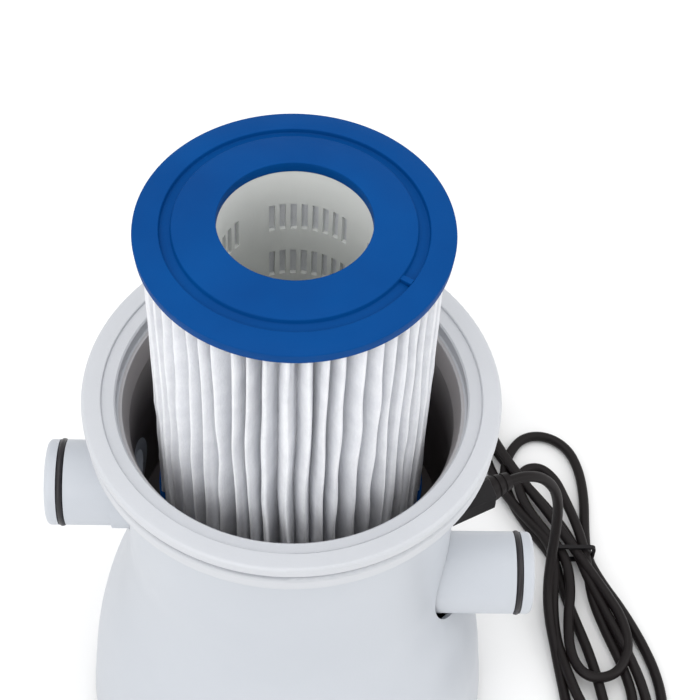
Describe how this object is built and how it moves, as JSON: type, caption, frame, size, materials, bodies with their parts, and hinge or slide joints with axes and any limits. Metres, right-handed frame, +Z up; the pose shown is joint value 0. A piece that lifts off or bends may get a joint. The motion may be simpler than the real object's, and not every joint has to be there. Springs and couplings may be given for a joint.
{
  "type": "pool filter pump",
  "caption": "Bell-shaped cartridge filter pump with two O-ringed hose stubs, an open chamber holding a blue-capped pleated cartridge, and a hanked mains lead.",
  "frame": {"origin": "on the floor under the chamber's axis, at the bottom centre of the object without its lead", "axes": "+Z up along the chamber's axis; the inlet stub points along -X, the outlet stub along +X; +Y is away from the viewer"},
  "size_m": [0.2774, 0.2794, 0.3192],
  "materials": {
    "housing_plastic": "satin moulded polypropylene, pale grey",
    "inner_plastic": "black glass-filled polypropylene",
    "cap_blue": "cast polyurethane, blue, soft sheen",
    "core_white": "white moulded plastic",
    "filter_paper": "pleated non-woven filter paper",
    "seal_rubber": "black nitrile rubber",
    "foot_rubber": "matt black rubber",
    "screw_steel": "stainless steel",
    "shaft_steel": "ground stainless steel",
    "bush_plastic": "graphite-filled bearing plastic",
    "magnet_ferrite": "sintered ferrite",
    "core_steel": "laminated electrical steel",
    "copper_winding": "enamelled copper wire",
    "cord_black": "black soft PVC sheath",
    "plug_black": "black moulded PVC",
    "pin_brass": "nickel-plated brass"
  },
  "bodies": {
    "root": {"filter_chamber": "housing_plastic", "inlet_port": "housing_plastic", "outer_shroud": "housing_plastic", "volute_casing": "housing_plastic", "base_plate": "housing_plastic", "cartridge_seat": "housing_plastic", "rubber_feet": "foot_rubber", "base_screws": "screw_steel", "clamp_screws": "screw_steel", "inlet_o_ring": "seal_rubber", "outlet_o_ring": "seal_rubber", "casing_seal": "seal_rubber", "rotor_can": "inner_plastic", "bearing_plate": "inner_plastic", "lower_bush": "bush_plastic", "upper_bush": "bush_plastic", "stator_core": "core_steel", "coil_bobbins": "inner_plastic", "stator_windings": "copper_winding", "motor_housing": "inner_plastic", "cord_gland": "cord_black", "gland_nut": "plug_black", "inner_lead": "cord_black", "power_cord": "cord_black", "cord_hank": "cord_black", "cord_tie": "plug_black", "plug_body": "plug_black", "plug_pins": "pin_brass"},
    "cartridge": {"top_cap": "cap_blue", "bottom_cap": "cap_blue", "core_tube": "core_white", "pleated_media": "filter_paper"},
    "rotor": {"rotor_shaft": "shaft_steel", "rotor_magnet": "magnet_ferrite", "impeller": "inner_plastic"}
  },
  "joints": [
    {"name": "cartridge_lift", "type": "slide", "parent": "root", "child": "cartridge", "axis": [0, 0, 1], "range_m": [0, 0.15]},
    {"name": "rotor_spin", "type": "hinge", "parent": "root", "child": "rotor", "pos_m": [0, 0, 0.08], "axis": [0, 0, 1], "continuous": true}
  ]
}
